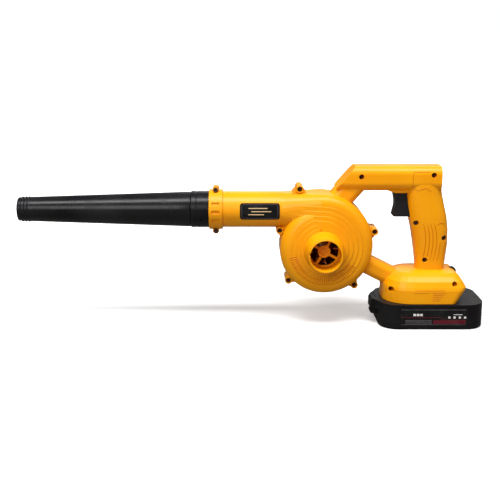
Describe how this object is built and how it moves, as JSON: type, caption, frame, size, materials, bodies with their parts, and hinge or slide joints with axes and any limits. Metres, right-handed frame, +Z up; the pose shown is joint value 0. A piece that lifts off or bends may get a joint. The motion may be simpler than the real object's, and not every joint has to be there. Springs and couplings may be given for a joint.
{
  "type": "handheld cordless blower",
  "caption": "Hand-held cordless blower: scroll fan housing, straight duct with taper nozzle, closed loop handle with trigger, slide-on battery pack under the base.",
  "frame": {"origin": "centre of the battery pack's flat bottom, in the plane where the two housing shells meet", "axes": "+Z up; air leaves the nozzle towards -X; the air inlet faces -Y and the motor +Y"},
  "size_m": [0.5045, 0.121, 0.1736],
  "materials": {
    "housing_yellow": "satin moulded",
    "trim_black": "semi-gloss moulded",
    "pack_black": "fine texture",
    "fan_black": "matte",
    "label_black": "printed film",
    "fan_orange": "matte",
    "seal_rubber": "matte",
    "screw_steel": "zinc plated",
    "motor_steel": "brushed",
    "copper": "copper",
    "brass": "machined",
    "carbon": "matte",
    "magnet": "ferrite",
    "board_green": "solder mask",
    "lead_red": "insulation",
    "lead_black": "insulation",
    "cell_blue": "shrink sleeve",
    "holder_grey": "natural",
    "nickel": "plain",
    "plunger_white": "natural"
  },
  "bodies": {
    "housing": {"front_shell": "housing_yellow", "back_shell": "housing_yellow", "inlet_guard": "housing_yellow", "motor_cover": "housing_yellow", "motor_cover_screws": "screw_steel", "shell_screws": "screw_steel", "duct_label": "label_black", "motor_mount": "fan_black", "motor_mount_screws": "screw_steel", "motor_can": "motor_steel", "motor_magnets": "magnet", "motor_end_bell": "fan_black", "carbon_brushes": "carbon", "motor_terminals": "brass", "front_bearing": "brass", "rear_bearing": "brass", "motor_ring": "seal_rubber", "trigger_spring": "motor_steel", "switch_body": "fan_black", "dial_axle": "motor_steel", "control_board": "board_green", "terminal_block": "fan_black", "contact_blades": "brass", "battery_leads": "lead_red", "motor_leads": "lead_black"},
    "rotor": {"impeller": "fan_orange", "impeller_bush": "brass", "impeller_nut": "motor_steel", "motor_shaft": "motor_steel", "armature": "motor_steel", "commutator": "copper"},
    "trigger": {"trigger": "trim_black", "switch_plunger": "plunger_white"},
    "speed_dial": {"speed_dial": "trim_black"},
    "collar": {"nozzle_collar": "trim_black", "collar_seal": "seal_rubber"},
    "nozzle": {"nozzle": "trim_black"},
    "battery_pack": {"pack_lower_shell": "pack_black", "pack_upper_shell": "pack_black", "pack_screws": "screw_steel", "pack_labels": "label_black", "battery_cells": "cell_blue", "cell_holder": "holder_grey", "cell_straps": "nickel", "pack_board": "board_green", "pack_contacts": "brass", "latch_spring": "motor_steel"},
    "latch_button": {"latch_button": "pack_black"}
  },
  "joints": [
    {"name": "fan_spin", "type": "hinge", "parent": "housing", "child": "rotor", "pos_m": [-0.118, 0, 0.085], "axis": [0, 1, 0], "continuous": true},
    {"name": "trigger_pull", "type": "slide", "parent": "housing", "child": "trigger", "axis": [1, 0, 0], "range_m": [0, 0.007], "stiffness_N_per_m": 900, "springref_m": -0.004, "deforming": ["trigger_spring"]},
    {"name": "speed_dial_turn", "type": "hinge", "parent": "housing", "child": "speed_dial", "pos_m": [0.0256, 0, 0.0563], "axis": [0, 1, 0], "range_deg": [0, 270]},
    {"name": "collar_turn", "type": "hinge", "parent": "housing", "child": "collar", "pos_m": [-0.2505, 0, 0.12537], "axis": [1, 0, 0], "range_deg": [0, 30]},
    {"name": "nozzle_pull", "type": "slide", "parent": "collar", "child": "nozzle", "axis": [-1, 0, 0], "range_m": [0, 0.03]},
    {"name": "pack_slide", "type": "slide", "parent": "housing", "child": "battery_pack", "axis": [1, 0, 0], "range_m": [0, 0.07]},
    {"name": "latch_press", "type": "slide", "parent": "battery_pack", "child": "latch_button", "axis": [0, 0, -1], "range_m": [0, 0.003], "stiffness_N_per_m": 700, "springref_m": -0.002, "deforming": ["latch_spring"]}
  ]
}
